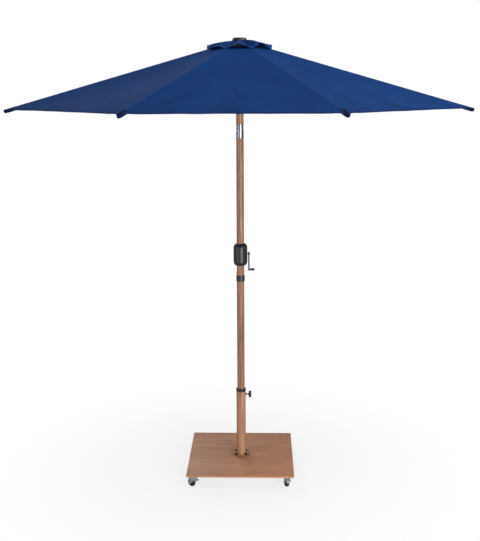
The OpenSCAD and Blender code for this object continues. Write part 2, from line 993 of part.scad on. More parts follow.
module caster_mounts() {
    plate_side = 60;
    top_t = 3;
    cup_r = 18;
    cup_low = 60.9;
    head_low = 53;
    head_h = 2.5;
    color("silver")
        for (c = corner)
            translate([c[0] * caster_pos, c[1] * caster_pos, 0]) {
                difference() {
                    translate([0, 0, plate_z - top_t])
                        linear_extrude(top_t)
                            rounded_rect(plate_side, plate_side, 5);
                    screw_spots()
                        translate([0, 0, plate_z - top_t - 1])
                            cylinder(h = top_t + 2, r = 2.6, $fn = small);
                }
                translate([0, 0, cup_low])
                    cylinder(h = plate_z - top_t - cup_low, r = cup_r, $fn = medium);
                translate([0, 0, head_low])
                    cylinder(h = cup_low - head_low + 1, r = kingpin_r, $fn = medium);
                translate([0, 0, head_low])
                    cylinder(h = head_h, r = 7.5, $fn = medium);
            }
}

module caster_screws() {
    color("silver")
        for (c = corner)
            translate([c[0] * caster_pos, c[1] * caster_pos, 0])
                screw_spots() {
                    translate([0, 0, plate_z - 3])
                        cylinder(h = plate_t + 3, r = 2.5, $fn = small);
                    translate([0, 0, plate_z - 5.5])
                        cylinder(h = 2.5, r = 4.5, $fn = small);
                    translate([0, 0, plate_top_z])
                        cylinder(h = 1.6, r = 4.2, $fn = small);
                }
}

// Places children in the swivelling frame of caster i: X along the trail
module at_caster(i) {
    c = corner[i - 1];
    translate([c[0] * caster_pos, c[1] * caster_pos, 0])
        rotate([0, 0, trail_yaw[i - 1]])
            children();
}

module caster_fork(i) {
    crown_low = 56;
    crown_top = 60.5;
    color("silver")
        at_caster(i) {
            difference() {
                union() {
                    translate([0, 0, crown_low])
                        cylinder(h = crown_top - crown_low, r = 19, $fn = medium);
                    for (s = [-1, 1])
                        translate([0, s * (fork_in + fork_t / 2), 0])
                            plate_y(fork_t)
                                fork_side();
                }
                translate([0, 0, crown_low - 1])
                    cylinder(h = 10, r = kingpin_r + run_gap, $fn = medium);
                translate([trail, 0, wheel_r])
                    bar_y(axle_r, -20, 20, medium);
                translate([brake_u, 0, brake_z])
                    bar_y(pin_r, -20, 20, medium);
            }
            translate([trail, 0, wheel_r]) {
                bar_y(axle_r, -fork_in - fork_t, fork_in + fork_t, medium);
                for (s = [-1, 1])
                    translate([0, s * (fork_in + fork_t + 1), 0])
                        bar_y(5, -1, 1, medium);
            }
            if (i < 3)
                translate([brake_u, 0, brake_z])
                    bar_y(pin_r, -fork_in - fork_t, fork_in + fork_t, medium);
        }
}

module fork_side() {
    polygon([[-17, 58], [-17, 42], [-9, 40], [trail - 8, wheel_r], [trail + 8, wheel_r], [17, 58]]);
    translate([trail, wheel_r])
        circle(8, $fn = medium);
}

module caster_wheel(i) {
    hub_r = 9;
    tread_round = 3;
    bore = axle_r + run_gap;
    half = wheel_w / 2;
    color("black")
        at_caster(i)
            translate([trail, 0, wheel_r])
                rotate([90, 0, 0])
                    rotate_extrude($fn = fine)
                        polygon([
                            [bore, -half - 0.8],
                            [hub_r, -half - 0.8],
                            [hub_r, 3 - half],
                            [wheel_r - 7, 3 - half],
                            [wheel_r - 7, -half],
                            [wheel_r - tread_round, -half],
                            [wheel_r, tread_round - half],
                            [wheel_r, half - tread_round],
                            [wheel_r - tread_round, half],
                            [wheel_r - 7, half],
                            [wheel_r - 7, half - 3],
                            [hub_r, half - 3],
                            [hub_r, half + 0.8],
                            [bore, half + 0.8]
                        ]);
}

// Foot pedal of a braked caster, hinged between the sides of the fork
module caster_brake(i) {
    pedal_w = 21;
    color("dimgray")
        at_caster(i)
            translate([brake_u, 0, brake_z])
                difference() {
                    union() {
                        bar_y(4, -pedal_w / 2, pedal_w / 2, medium);
                        translate([-9, -pedal_w / 2, -1.5])
                            cube([9, pedal_w, 3]);
                        translate([-28, -13, -1.5])
                            cube([21, 26, 3]);
                        translate([-28, -13, -1.5])
                            cube([3, 26, 6]);
                    }
                    bar_y(pin_r + run_gap, -20, 20, medium);
                }
}

base_plate();
base_tube();
flange_bolts();
caster_mounts();
caster_screws();
tube_bushing();
clamp_screw();
clamp_knob();
caster_fork(1);  // caster_fork_1
caster_fork(2);  // caster_fork_2
caster_fork(3);  // caster_fork_3
caster_fork(4);  // caster_fork_4
caster_wheel(1);  // caster_wheel_1
caster_wheel(2);  // caster_wheel_2
caster_wheel(3);  // caster_wheel_3
caster_wheel(4);  // caster_wheel_4
caster_brake(1);  // caster_brake_1
caster_brake(2);  // caster_brake_2
lower_pole();
pole_collar();
pole_spigot();
mid_pole();
snap_button();
housing_front();
housing_back();
housing_screws();
crank_spool();
crank_arm();
crank_grip();
tilt_socket();
tilt_pin();
tilt_button();
tilt_knuckle();
lift_cord_lower();
upper_pole();
crown_hub();
crown_pins();
finial();
cord_pulley();
canopy();
lift_cord_upper();
lift_cord_outer();
runner();
runner_pins();
rib(1);  // rib_1
rib(2);  // rib_2
rib(3);  // rib_3
rib(4);  // rib_4
rib(5);  // rib_5
rib(6);  // rib_6
rib(7);  // rib_7
rib(8);  // rib_8
strut(1);  // strut_1
strut(2);  // strut_2
strut(3);  // strut_3
strut(4);  // strut_4
strut(5);  // strut_5
strut(6);  // strut_6
strut(7);  // strut_7
strut(8);  // strut_8
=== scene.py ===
# Looks of a market umbrella on a wheeled base: cloth, wood-print steel, plastic, zinc and chrome.
# Metres, +Z up, front towards -Y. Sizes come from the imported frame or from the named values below.
import json
import math

import bpy
from mathutils import Euler, Matrix, Vector, noise


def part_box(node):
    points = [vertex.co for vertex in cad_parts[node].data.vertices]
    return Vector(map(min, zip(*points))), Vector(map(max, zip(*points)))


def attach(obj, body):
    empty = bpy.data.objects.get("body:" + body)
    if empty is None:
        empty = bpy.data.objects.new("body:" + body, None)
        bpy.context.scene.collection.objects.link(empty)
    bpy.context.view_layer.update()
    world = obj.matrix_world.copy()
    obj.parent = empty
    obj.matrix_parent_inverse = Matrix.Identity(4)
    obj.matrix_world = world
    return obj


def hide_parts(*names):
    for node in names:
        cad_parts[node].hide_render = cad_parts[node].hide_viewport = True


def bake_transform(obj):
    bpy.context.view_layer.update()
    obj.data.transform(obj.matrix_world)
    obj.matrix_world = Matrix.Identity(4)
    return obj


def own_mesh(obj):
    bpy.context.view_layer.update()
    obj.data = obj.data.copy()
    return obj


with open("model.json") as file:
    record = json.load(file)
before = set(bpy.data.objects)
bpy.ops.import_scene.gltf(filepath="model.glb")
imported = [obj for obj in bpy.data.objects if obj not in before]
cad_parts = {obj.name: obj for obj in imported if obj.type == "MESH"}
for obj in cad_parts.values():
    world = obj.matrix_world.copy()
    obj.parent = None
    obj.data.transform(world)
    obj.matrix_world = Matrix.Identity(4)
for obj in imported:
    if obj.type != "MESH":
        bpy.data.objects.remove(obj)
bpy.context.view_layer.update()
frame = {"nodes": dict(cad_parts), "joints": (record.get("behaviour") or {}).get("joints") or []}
joints = {j["name"]: j for j in frame["joints"]}
MM = 0.001

# ---- Sizes -------------------------------------------------------------------------------

RIBS = 8
STEP = math.tau / RIBS
HALF = STEP / 2
TAN_HALF = math.tan(HALF)

rib_pivot = Vector(joints["rib_1_fold"]["pos_m"])
CROWN_R = math.hypot(rib_pivot.x, rib_pivot.y)
CROWN_Z = rib_pivot.z
TIP_R = 1335 * MM
POLE_R = 22 * MM
RIB_SLOPE = math.radians(16.1)
RIB_H = 16 * MM
RIB_LENGTH = (TIP_R - CROWN_R) / math.cos(RIB_SLOPE)

CLOTH_T = 1.0 * MM
CLOTH_ON_RIB = 2.2 * MM
RIDGE_SLOPE = math.tan(RIB_SLOPE)
PANEL_SLOPE = RIDGE_SLOPE / math.cos(HALF)
APEX_Z = CROWN_Z + CROWN_R * RIDGE_SLOPE + RIB_H / 2 / math.cos(RIB_SLOPE) + CLOTH_ON_RIB
VENT_HOLE_D = 125 * MM
HEM_D = (TIP_R - 4 * MM) * math.cos(HALF)
HEM_CONCAVE = 16 * MM
SAG_MID = 13 * MM
SAG_HEM = 5 * MM

VENT_IN_D = 25 * MM
VENT_OUT_D = 184 * MM
VENT_TOP_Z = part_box("canopy")[1].z - 0.6 * MM
VENT_LIFT = 27 * MM
SEAM_FROM = 128 * MM / math.cos(HALF)
# How high the vent flap arches on each panel and to which side, counted round from +X
VENT_LOBES = [(0.9, 0.1), (1.1, -0.12), (0.8, 0.15), (1.0, 0.0),
              (0.9, -0.15), (0.55, 0.15), (1.0, 0.03), (1.2, -0.2)]


# ---- Material helpers --------------------------------------------------------------------

def srgb(r, g, b):
    """Display colour, 0 to 255, as the linear colour a shader takes."""
    def linear(c):
        c /= 255
        return c / 12.92 if c <= 0.04045 else ((c + 0.055) / 1.055) ** 2.4
    return (linear(r), linear(g), linear(b), 1.0)


def put(tree, kind, inputs=None, **settings):
    made = tree.nodes.new("ShaderNode" + kind)
    for key, value in settings.items():
        setattr(made, key, value)
    for key, value in (inputs or {}).items():
        if isinstance(value, bpy.types.NodeSocket):
            tree.links.new(value, made.inputs[key])
        else:
            made.inputs[key].default_value = value
    return made


def new_material(name, **sockets):
    """A principled material; sockets are its plain numbers, with _ for the spaces in their names."""
    made = bpy.data.materials.new(name)
    made.use_nodes = True
    shader = made.node_tree.nodes["Principled BSDF"]
    for key, value in sockets.items():
        shader.inputs[key.replace("_", " ")].default_value = value
    return made, made.node_tree, shader


def stretched(tree, vector, scale):
    return put(tree, "Mapping", {"Vector": vector, "Scale": scale}).outputs["Vector"]


def object_coords(tree, scale):
    return stretched(tree, put(tree, "TexCoord").outputs["Object"], scale)


def noise_of(tree, vector, scale=1.0, detail=4.0, roughness=0.55, distortion=0.0):
    inputs = {"Vector": vector, "Scale": scale, "Detail": detail, "Roughness": roughness,
              "Distortion": distortion}
    return put(tree, "TexNoise", inputs).outputs["Fac"]


def ramp(tree, factor, stops):
    """Colour or grey ramp; stops are (place, colour) pairs."""
    made = put(tree, "ValToRGB", {"Fac": factor})
    elements = made.color_ramp.elements
    while len(elements) < len(stops):
        elements.new(0.5)
    for element, (place, colour) in zip(elements, stops):
        element.position = place
        element.color = colour if hasattr(colour, "__len__") else (colour, colour, colour, 1.0)
    return made.outputs["Color"]


def mix(tree, factor, a, b, how="MIX"):
    made = put(tree, "Mix", data_type="RGBA", blend_type=how)
    for socket, value in (("Factor_Float", factor), ("A_Color", a), ("B_Color", b)):
        target = next(s for s in made.inputs if s.identifier == socket)
        if isinstance(value, bpy.types.NodeSocket):
            tree.links.new(value, target)
        else:
            target.default_value = value
    return next(s for s in made.outputs if s.identifier == "Result_Color")


def calc(tree, what, a, b=0.0):
    made = put(tree, "Math", {0: a, 1: b}, operation=what)
    return made.outputs[0]


def bump(tree, shader, height, distance, strength=1.0):
    made = put(tree, "Bump", {"Height": height, "Distance": distance, "Strength": strength})
    tree.links.new(made.outputs["Normal"], shader.inputs["Normal"])


# ---- Materials ---------------------------------------------------------------------------

def wood_print(name, scales, dark, middle, light, roughness, gloss):
    """Printed wood film on steel; scales stretch the grain along one axis."""
    made, tree, shader = new_material(name, Specular_IOR_Level=gloss)
    broad = noise_of(tree, object_coords(tree, scales["broad"]), detail=3.0, distortion=0.6)
    grain = noise_of(
        tree, object_coords(tree, scales["grain"]), detail=5.0, roughness=0.62, distortion=0.35)
    pores = noise_of(tree, object_coords(tree, scales["pores"]), detail=3.0, roughness=0.7)
    base = ramp(tree, grain, [(0.28, dark), (0.5, middle), (0.74, light)])
    tone = ramp(tree, broad, [(0.3, (0.86, 0.83, 0.8, 1)), (0.7, (1.1, 1.1, 1.1, 1))])
    line = ramp(tree, pores, [(0.34, (0.62, 0.56, 0.52, 1)), (0.46, (1, 1, 1, 1))])
    toned = mix(tree, 1.0, base, tone, "MULTIPLY")
    colour = mix(tree, 0.75, toned, line, "MULTIPLY")
    tree.links.new(colour, shader.inputs["Base Color"])
    satin = ramp(tree, grain, [(0.3, roughness + 0.08), (0.7, roughness - 0.05)])
    tree.links.new(satin, shader.inputs["Roughness"])
    bump(tree, shader, pores, 0.12 * MM, 0.5)
    return made


def moulded(name, colour, roughness, grain_scale=1400.0, grain_depth=0.05 * MM):
    """Moulded plastic with a fine spark-eroded texture, a faintly cloudy tone and light scuffs."""
    made, tree, shader = new_material(name)
    coords = object_coords(tree, (1, 1, 1))
    cloud = noise_of(tree, coords, 22.0, 4.0)
    lighter = tuple(min(1.0, c * 1.7 + 0.004) for c in colour[:3]) + (1.0,)
    tree.links.new(ramp(tree, cloud, [(0.35, colour), (0.85, lighter)]), shader.inputs["Base Color"])
    scuff = noise_of(tree, coords, 90.0, 5.0, 0.7)
    dullness = ramp(tree, scuff, [(0.3, roughness - 0.07), (0.7, roughness + 0.1)])
    tree.links.new(dullness, shader.inputs["Roughness"])
    bump(tree, shader, noise_of(tree, coords, grain_scale, 2.0), grain_depth, 0.6)
    return made


def metal(name, colour, roughness, stretch=(1, 1, 1), scale=260.0, depth=0.02 * MM, mottling=0.12):
    """Bare or plated metal; stretch draws the fine scratches out along one axis."""
    made, tree, shader = new_material(name, Metallic=1.0)
    coords = object_coords(tree, stretch)
    marks = noise_of(tree, coords, scale, 4.0, 0.65)
    cloud = noise_of(tree, object_coords(tree, (1, 1, 1)), 35.0, 3.0)
    dull = tuple(c * (1 - 2 * mottling) for c in colour[:3]) + (1.0,)
    tree.links.new(ramp(tree, cloud, [(0.3, dull), (0.7, colour)]), shader.inputs["Base Color"])
    dullness = ramp(tree, marks, [(0.25, roughness * 0.7), (0.8, roughness * 1.5)])
    tree.links.new(dullness, shader.inputs["Roughness"])
    bump(tree, shader, marks, depth, 0.5)
    return made


def painted(name, colour, roughness):
    """Powder coat with a light orange peel."""
    made, tree, shader = new_material(name, Specular_IOR_Level=0.5)
    coords = object_coords(tree, (1, 1, 1))
    cloud = noise_of(tree, coords, 14.0, 3.0)
    lighter = tuple(c * 1.25 for c in colour[:3]) + (1.0,)
    tree.links.new(ramp(tree, cloud, [(0.3, colour), (0.75, lighter)]), shader.inputs["Base Color"])
    peel = noise_of(tree, coords, 700.0, 2.0)
    dullness = ramp(tree, peel, [(0.3, roughness - 0.05), (0.7, roughness + 0.07)])
    tree.links.new(dullness, shader.inputs["Roughness"])
    bump(tree, shader, peel, 0.04 * MM, 0.5)
    return made


def woven(name, colour, thread=1.1 * MM, stitch_rows=(), sheen=0.02):
    """Woven polyester on a UV map in metres; stitch_rows are the V places of stitch lines."""
    made, tree, shader = new_material(
        name, Roughness=0.88, Sheen_Weight=sheen, Sheen_Roughness=0.5, Specular_IOR_Level=0.05)
    shader.inputs["Sheen Tint"].default_value = srgb(150, 175, 225)
    uv = put(tree, "UVMap", uv_map="cloth").outputs["UV"]
    parts = put(tree, "SeparateXYZ", {"Vector": uv})
    across, along = parts.outputs["X"], parts.outputs["Y"]
    turns = math.tau / thread
    warp = calc(tree, "ABSOLUTE", calc(tree, "SINE", calc(tree, "MULTIPLY", across, turns / 2)))
    weft = calc(tree, "ABSOLUTE", calc(tree, "SINE", calc(tree, "MULTIPLY", along, turns / 2)))
    weave = calc(tree, "MULTIPLY", warp, weft)
    slub_u = noise_of(tree, stretched(tree, uv, (900, 12, 1)), detail=2.0)
    slub_v = noise_of(tree, stretched(tree, uv, (12, 900, 1)), detail=2.0)
    cloud = noise_of(tree, stretched(tree, uv, (5, 3, 1)))
    deep = tuple(c * 0.82 for c in colour[:3]) + (1.0,)
    bright = tuple(c * 1.16 for c in colour[:3]) + (1.0,)
    base = ramp(tree, cloud, [(0.3, deep), (0.7, bright)])
    slubs = calc(tree, "ADD", calc(tree, "MULTIPLY", slub_u, 0.5), calc(tree, "MULTIPLY", slub_v, 0.5))
    threads = ramp(tree, slubs, [(0.35, (0.86, 0.88, 0.9, 1)), (0.65, (1.1, 1.09, 1.07, 1))])
    dyed = mix(tree, 1.0, base, threads, "MULTIPLY")
    # Painted shade: the gaps between the threads are darkened.
    gap_shade = ramp(tree, weave, [(0.0, (0.8, 0.8, 0.82, 1)), (0.5, (1.03, 1.03, 1.03, 1))])
    shown = mix(tree, 0.6, dyed, gap_shade, "MULTIPLY")
    height = weave
    stitch_length, stitch_half_width = 5 * MM, 0.7 * MM
    for row in stitch_rows:
        away = calc(tree, "ABSOLUTE", calc(tree, "SUBTRACT", along, row))
        near = calc(tree, "LESS_THAN", away, stitch_half_width)
        wave = calc(tree, "SINE", calc(tree, "MULTIPLY", across, math.tau / stitch_length))
        dash = calc(tree, "MULTIPLY", near, calc(tree, "GREATER_THAN", wave, -0.55))
        shown = mix(tree, calc(tree, "MULTIPLY", dash, 0.7), shown, srgb(52, 84, 150))
        dip = calc(tree, "MULTIPLY", near, calc(tree, "SUBTRACT", dash, 1.5))
        height = calc(tree, "ADD", height, dip)
    tree.links.new(shown, shader.inputs["Base Color"])
    bump(tree, shader, height, 0.22 * MM, 0.55)
    return made


def braided(name, colour, across, along):
    """Braided cord along Z, a net of diamonds; across and along are radians of strand a metre."""
    made, tree, shader = new_material(name, Roughness=0.8, Sheen_Weight=0.2)
    coords = put(tree, "TexCoord").outputs["Object"]
    parts = put(tree, "SeparateXYZ", {"Vector": coords})
    round_it = calc(tree, "MULTIPLY", parts.outputs["Y"], across)
    up = calc(tree, "MULTIPLY", parts.outputs["Z"], along)
    one = calc(tree, "ABSOLUTE", calc(tree, "SINE", calc(tree, "ADD", round_it, up)))
    two = calc(tree, "ABSOLUTE", calc(tree, "SINE", calc(tree, "SUBTRACT", up, round_it)))
    strands = calc(tree, "MULTIPLY", one, two)
    # Painted shade: the grooves between the strands are darkened to half.
    dark = tuple(c * 0.5 for c in colour[:3]) + (1.0,)
    tree.links.new(ramp(tree, strands, [(0.05, dark), (0.5, colour)]), shader.inputs["Base Color"])
    bump(tree, shader, strands, 0.3 * MM, 0.7)
    return made


GRAIN_UP = {"broad": (9, 9, 1.6), "grain": (95, 95, 4.5), "pores": (620, 620, 16)}
GRAIN_ACROSS = {"broad": (1.5, 7, 7), "grain": (3.6, 62, 62), "pores": (13, 480, 480)}
BLUE = srgb(16, 58, 117)
# Lighter blue of the vent binding: a painted highlight along the vent rim.
BINDING_HIGHLIGHT_BLUE = srgb(33, 74, 142)

TUBE_WOOD = wood_print(
    "tube_wood", GRAIN_UP, srgb(122, 84, 60), srgb(162, 119, 92), srgb(184, 144, 115), 0.34, 0.3)
# Pole wood: the tube's wood print made darker, partly the poles' own print and partly painted shade of the
# canopy over the poles.
POLE_WOOD_SHADED = wood_print(
    "pole_wood_shaded", GRAIN_UP, srgb(106, 71, 52), srgb(146, 106, 84), srgb(172, 133, 110), 0.36, 0.22)
PLATE_WOOD = wood_print(
    "plate_wood", GRAIN_ACROSS, srgb(164, 116, 86), srgb(182, 131, 99), srgb(193, 143, 110), 0.38, 0.13)
BLACK = moulded("black_plastic", srgb(21, 22, 29), 0.4)
# Darker, duller copy of the black plastic: painted shade on the crown hub and its washer under the vent.
SHADED_HUB_BLACK = moulded("hub_plastic_shaded", srgb(9, 9, 11), 0.75)
FINIAL_GREY = moulded("finial_plastic", srgb(33, 34, 41), 0.46)
WHITE = moulded("white_plastic", srgb(205, 205, 200), 0.45)
TYRE = moulded("tyre_plastic", srgb(20, 20, 22), 0.5, 700.0)
CHROME = metal("chrome", srgb(132, 135, 145), 0.3, (1, 1, 14), 60.0, 0.01 * MM, 0.06)
ZINC = metal("zinc_plate", srgb(176, 178, 182), 0.34, (1, 1, 1), 180.0)
STEEL = metal("steel", srgb(168, 168, 170), 0.3, (1, 1, 1), 240.0)
OXIDE = metal("black_oxide", srgb(42, 42, 45), 0.42, (1, 1, 1), 220.0)
RIB_GREY = painted("rib_paint", srgb(64, 66, 70), 0.45)
DARK_PAINT = painted("crank_paint", srgb(14, 15, 19), 0.62)
FORK_ZINC = painted("fork_zinc", srgb(128, 130, 137), 0.35)
PEDAL_ZINC = painted("pedal_zinc", srgb(178, 183, 195), 0.4)
PLATE_PAINT = painted("plate_paint", srgb(134, 99, 78), 0.5)
# Dark brown painted shade for the side face of the flange.
FLANGE_SHADE = painted("flange_painted_shade", srgb(92, 60, 42), 0.5)
CLOTH = woven("canopy_cloth", BLUE)
HEM_CLOTH = woven("hem_cloth", srgb(14, 43, 95), stitch_rows=(4 * MM, 18 * MM))
SEAM_CLOTH = woven("seam_cloth", srgb(24, 62, 122), stitch_rows=(2.6 * MM, 11.4 * MM))
# The binding cloth carries the lighter blue of the painted rim highlight.
BINDING = woven("binding_cloth", BINDING_HIGHLIGHT_BLUE, 0.9 * MM, sheen=0.06)
# Very dark blue of the rib tip pockets: painted shade under the corners of the cloth.
SHADED_POCKET_CLOTH = woven("pocket_cloth_shaded", srgb(14, 27, 58), 1.3 * MM, stitch_rows=(7 * MM,))
CORD = braided("lift_cord", srgb(200, 200, 195), 2600.0, 700.0)


# ---- Mesh helpers ------------------------------------------------------------------------

def smoothstep(x):
    x = min(1.0, max(0.0, x))
    return x * x * (3 - 2 * x)


def add_mesh(name, points, faces, material, sharp_angle=None):
    mesh = bpy.data.meshes.new(name)
    mesh.from_pydata([tuple(p) for p in points], [], faces)
    mesh.update()
    mesh.shade_smooth()
    if sharp_angle is not None:
        mesh.set_sharp_from_angle(angle=math.radians(sharp_angle))
    mesh.materials.append(material)
    made = bpy.data.objects.new(name, mesh)
    bpy.context.scene.collection.objects.link(made)
    return made


def closed_sheet(name, grid, thickness, material, uv):
    """Closed thin sheet round a grid of centre points; thickness is one number or one for each row.
    Its borders are sharp, so that two sheets that meet shade as one."""
    rows, cols = len(grid), len(grid[0])
    walls = [thickness] * rows if isinstance(thickness, float) else thickness
    top, low = [], []
    for r in range(rows):
        for c in range(cols):
            down = grid[min(r + 1, rows - 1)][c] - grid[max(r - 1, 0)][c]
            side = grid[r][min(c + 1, cols - 1)] - grid[r][max(c - 1, 0)]
            normal = down.cross(side).normalized()
            top.append(grid[r][c] + normal * walls[r] / 2)
            low.append(grid[r][c] - normal * walls[r] / 2)
    count = rows * cols
    faces = []
    for r in range(rows - 1):
        for c in range(cols - 1):
            a = r * cols + c
            quad = (a, a + cols, a + cols + 1, a + 1)
            faces.append(quad)
            faces.append(tuple(count + q for q in reversed(quad)))
    border = list(range(cols))
    border += [r * cols + cols - 1 for r in range(1, rows)]
    border += [(rows - 1) * cols + c for c in range(cols - 2, -1, -1)]
    border += [r * cols for r in range(rows - 2, 0, -1)]
    for a, b in zip(border, border[1:] + border[:1]):
        faces.append((a, b, count + b, count + a))
    made = add_mesh(name, top + low, faces, material)
    edge_of = {frozenset(e.vertices): e for e in made.data.edges}
    for a, b in zip(border, border[1:] + border[:1]):
        for shift in (0, count):
            edge_of[frozenset((a + shift, b + shift))].use_edge_sharp = True
    layer = made.data.uv_layers.new(name="cloth")
    for loop in made.data.loops:
        r, c = divmod(loop.vertex_index % count, cols)
        layer.data[loop.index].uv = uv(r, c)
    return made


def ring(radius, count):
    """Points of a circle round the origin, from +X on."""
    turns = [math.tau * k / count for k in range(count)]
    return [(radius * math.cos(turn), radius * math.sin(turn)) for turn in turns]


def rounded(points, radius, steps=4):
    """The closed outline with each corner turned into an arc of at most that radius."""
    out = []
    n = len(points)
    for k in range(n):
        before, here, after = (Vector(points[(k + j) % n]) for j in (-1, 0, 1))
        a, b = before - here, after - here
        reach = min(radius, a.length * 0.45, b.length * 0.45)
        start, end = here + a.normalized() * reach, here + b.normalized() * reach
        for s in range(steps + 1):
            t = s / steps
            out.append((1 - t) ** 2 * start + 2 * t * (1 - t) * here + t * t * end)
    return out


def lathe(name, profile, material, place=Matrix(), turns=96, sharp_angle=35):
    """Solid of revolution about Z from a closed (radius, height) outline, then put in its place."""
    count = len(profile)
    axis = [k for k, p in enumerate(profile) if p[0] < 1e-6]
    points, faces = [], []
    for t in range(turns):
        angle = math.tau * t / turns
        for p in profile:
            points.append(place @ Vector((p[0] * math.cos(angle), p[0] * math.sin(angle), p[1])))
    for t in range(turns):
        after = (t + 1) % turns
        for k in range(count):
            m = (k + 1) % count
            quad = [t * count + k, after * count + k, after * count + m, t * count + m]
            if k in axis and m in axis:
                continue
            if k in axis:
                quad = [k, quad[2], quad[3]]
            elif m in axis:
                quad = [quad[0], quad[1], m]
            faces.append(quad)
    made = add_mesh(name, points, faces, material, sharp_angle)
    drop_loose(made, sharp_angle)
    return made


def drop_loose(obj, sharp_angle):
    """Removes points that no face uses, which a lathe leaves on its axis."""
    mesh = obj.data
    used = sorted({v for p in mesh.polygons for v in p.vertices})
    if len(used) == len(mesh.vertices):
        return
    index = {old: new for new, old in enumerate(used)}
    points = [mesh.vertices[v].co.copy() for v in used]
    faces = [[index[v] for v in p.vertices] for p in mesh.polygons]
    material = mesh.materials[0]
    mesh.clear_geometry()
    mesh.from_pydata(points, [], faces)
    mesh.update()
    mesh.shade_smooth()
    mesh.set_sharp_from_angle(angle=math.radians(sharp_angle))
    if not mesh.materials:
        mesh.materials.append(material)


def stack(name, outline, levels, material, place=Matrix(), sharp_angle=35):
    """Solid from one outline repeated at levels of (height, inset), closed at both ends."""
    count = len(outline)
    points = []
    for height, inset in levels:
        for k, p in enumerate(outline):
            before, after = Vector(outline[k - 1]), Vector(outline[(k + 1) % count])
            run = (after - before).normalized()
            inward = Vector((-run.y, run.x))
            moved = Vector(p) + inward * inset
            points.append(place @ Vector((moved.x, moved.y, height)))
    faces = [tuple(reversed(range(count)))]
    last = (len(levels) - 1) * count
    for level in range(len(levels) - 1):
        for k in range(count):
            m = (k + 1) % count
            a, b = level * count, (level + 1) * count
            faces.append((a + k, a + m, b + m, b + k))
    faces.append(tuple(range(last, last + count)))
    return add_mesh(name, points, faces, material, sharp_angle)


def vectors(outline):
    return [Vector(p) for p in outline]


def towards_x(x, y, z):
    """Place whose Z runs along +X, X along +Y and Y along +Z."""
    return Matrix.Translation((x, y, z)) @ Matrix(((0, 0, 1), (1, 0, 0), (0, 1, 0))).to_4x4()


def edge_rounding(height, radius, steps=4, start=0.0):
    """Levels of a stack with both edges rounded."""
    turn = [math.pi / 2 * s / steps for s in range(steps + 1)]
    low = [(start + radius * (1 - math.sin(a)), radius * (1 - math.cos(a))) for a in reversed(turn)]
    top = [(start + height - radius * (1 - math.sin(a)), radius * (1 - math.cos(a))) for a in turn]
    return low + top


def finish_piece(obj, body, slot, *nodes):
    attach(obj, body)
    if nodes:
        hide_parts(*nodes)
    return obj


# ---- Camera, light and floor -------------------------------------------------------------

def make_camera():
    distance = 5.059
    height = 2.318
    azimuth = math.radians(1.39)
    pitch = math.radians(4.83)
    roll = math.radians(-0.25)
    data = bpy.data.cameras.new("camera")
    data.lens = 57.45
    data.shift_y = -0.2126
    camera = bpy.data.objects.new("camera", data)
    camera.location = (distance * math.sin(azimuth), -distance * math.cos(azimuth), height)
    aim = Euler((math.pi / 2 - pitch, 0, azimuth)).to_matrix() @ Matrix.Rotation(roll, 3, "Z")
    camera.rotation_euler = aim.to_euler()
    bpy.context.scene.collection.objects.link(camera)
    bpy.context.scene.camera = camera


def softbox(name, place, target, width, height, watts):
    data = bpy.data.lights.new(name, "AREA")
    data.shape = "RECTANGLE"
    data.size, data.size_y = width, height
    data.energy = watts
    lamp = bpy.data.objects.new(name, data)
    lamp.location = place
    lamp.rotation_euler = (Vector(target) - Vector(place)).to_track_quat("-Z", "Y").to_euler()
    bpy.context.scene.collection.objects.link(lamp)


def make_world(strength):
    world = bpy.data.worlds.new("studio")
    world.use_nodes = True
    background = world.node_tree.nodes["Background"]
    background.inputs["Color"].default_value = (0.96, 0.98, 1.0, 1.0)
    background.inputs["Strength"].default_value = strength
    bpy.context.scene.world = world


def make_floor():
    """Pale round floor that fades out into a plain white backdrop."""
    inner, outer, rings, spokes = 0.2, 9.0, 24, 96
    points, faces = [(0, 0, 0)], []
    for r in range(rings):
        radius = inner * (outer / inner) ** (r / (rings - 1))
        points += [(x, y, 0) for x, y in ring(radius, spokes)]
    for s in range(spokes):
        t = (s + 1) % spokes
        faces.append((0, 1 + s, 1 + t))
        for r in range(rings - 1):
            a, b = 1 + r * spokes, 1 + (r + 1) * spokes
            faces.append((a + s, b + s, b + t, a + t))
    paint, tree, shader = new_material("pale_floor", Roughness=0.6, Specular_IOR_Level=0.15)
    shader.inputs["Base Color"].default_value = (0.9, 0.9, 0.9, 1)
    coords = put(tree, "TexCoord").outputs["Object"]
    reach = put(tree, "VectorMath", {0: coords}, operation="LENGTH").outputs["Value"]
    fade_from, fade_to, cover = 0.4, 1.6, 0.22
    limits = {"From Min": fade_from, "From Max": fade_to, "To Min": cover, "To Max": 0.0}
    fade = put(tree, "MapRange", {"Value": reach, **limits}, interpolation_type="SMOOTHSTEP")
    tree.links.new(fade.outputs["Result"], shader.inputs["Alpha"])
    floor = add_mesh("floor", points, faces, paint)


def make_backdrop():
    """Plain white sphere round the scene, which only the camera sees."""
    radius, rings, spokes = 60.0, 24, 48
    points, faces = [], []
    for r in range(rings + 1):
        tilt = math.pi * r / rings
        points += [(x, y, radius * math.cos(tilt)) for x, y in ring(radius * math.sin(tilt), spokes)]
    for r in range(rings):
        for s in range(spokes):
            t = (s + 1) % spokes
            faces.append((r * spokes + s, r * spokes + t, (r + 1) * spokes + t, (r + 1) * spokes + s))
    white, tree, _ = new_material("backdrop_white")
    glow = put(tree, "Emission", {"Color": (1, 1, 1, 1), "Strength": 1.0})
    output = next(n for n in tree.nodes if n.type == "OUTPUT_MATERIAL")
    tree.links.new(glow.outputs["Emission"], output.inputs["Surface"])
    backdrop = add_mesh("backdrop", points, faces, white)
    backdrop.visible_diffuse = False
    backdrop.visible_glossy = False
    backdrop.visible_transmission = False
    backdrop.visible_shadow = False


